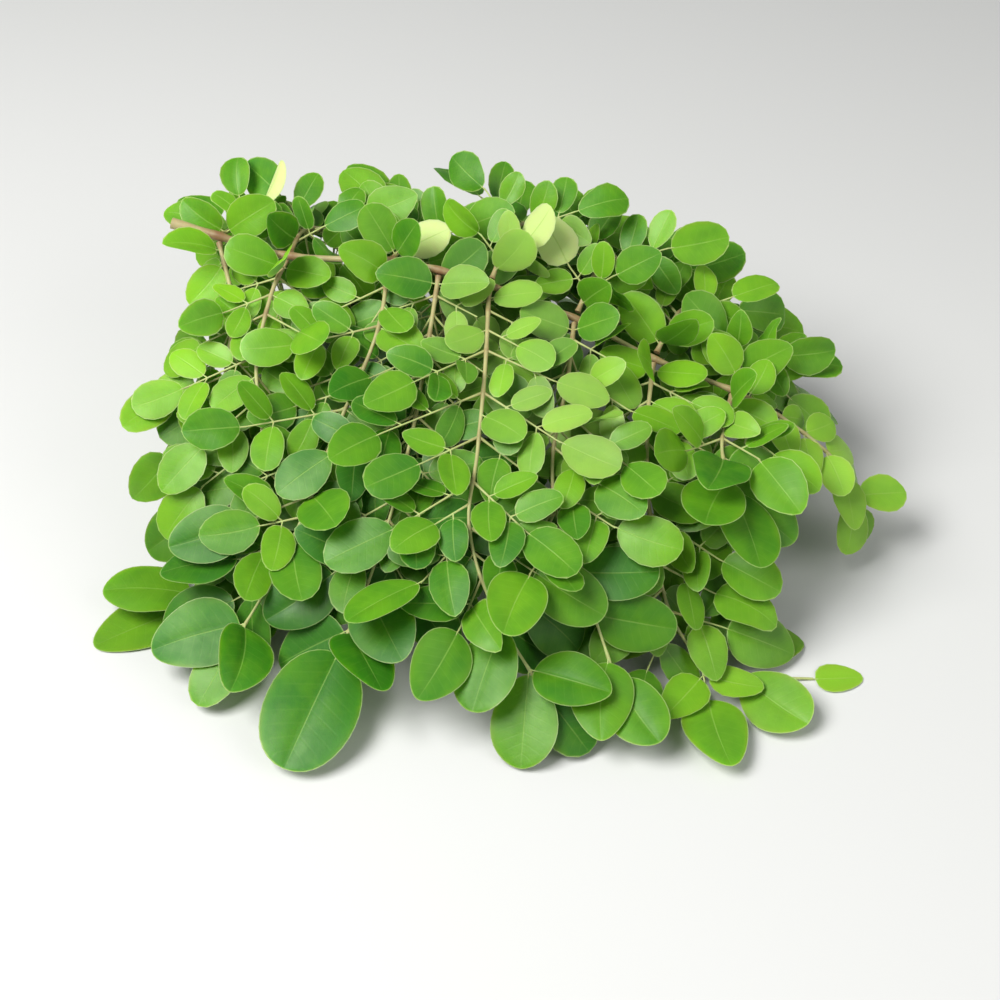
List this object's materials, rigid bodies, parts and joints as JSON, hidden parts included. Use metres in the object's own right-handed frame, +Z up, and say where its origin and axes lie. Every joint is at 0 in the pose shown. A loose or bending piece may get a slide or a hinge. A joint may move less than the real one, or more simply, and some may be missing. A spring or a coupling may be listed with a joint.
{
  "type": "moringa leaf sprig",
  "caption": "Cut compound leaf lying in a loose heap: a jointed main stalk with a swollen cut foot and side sprays of small oval leaflets.",
  "frame": {"origin": "under the middle of the heap's box, on the surface that it lies on", "axes": "+Z up; +X along the main stalk, from its cut foot to its tip; -Y the front that the picture shows"},
  "size_m": [0.2267, 0.2011, 0.0878],
  "materials": {
    "leaf": "soft satin green, thin pale rim and rib, paler underside",
    "stalk": "smooth tan to red-brown skin"
  },
  "bodies": {
    "root": {"main_stalk": "stalk", "spray_front_1": "leaf", "spray_front_2": "leaf", "spray_front_3": "leaf", "spray_front_4": "leaf", "spray_front_5": "leaf", "spray_front_6": "leaf", "spray_front_7": "leaf", "spray_front_8": "leaf", "spray_tip": "leaf", "spray_back_1": "leaf", "spray_back_2": "leaf", "spray_back_3": "leaf", "spray_back_4": "leaf", "spray_back_5": "leaf", "spray_back_6": "leaf", "spray_back_7": "leaf", "spray_back_8": "leaf"}
  },
  "joints": []
}
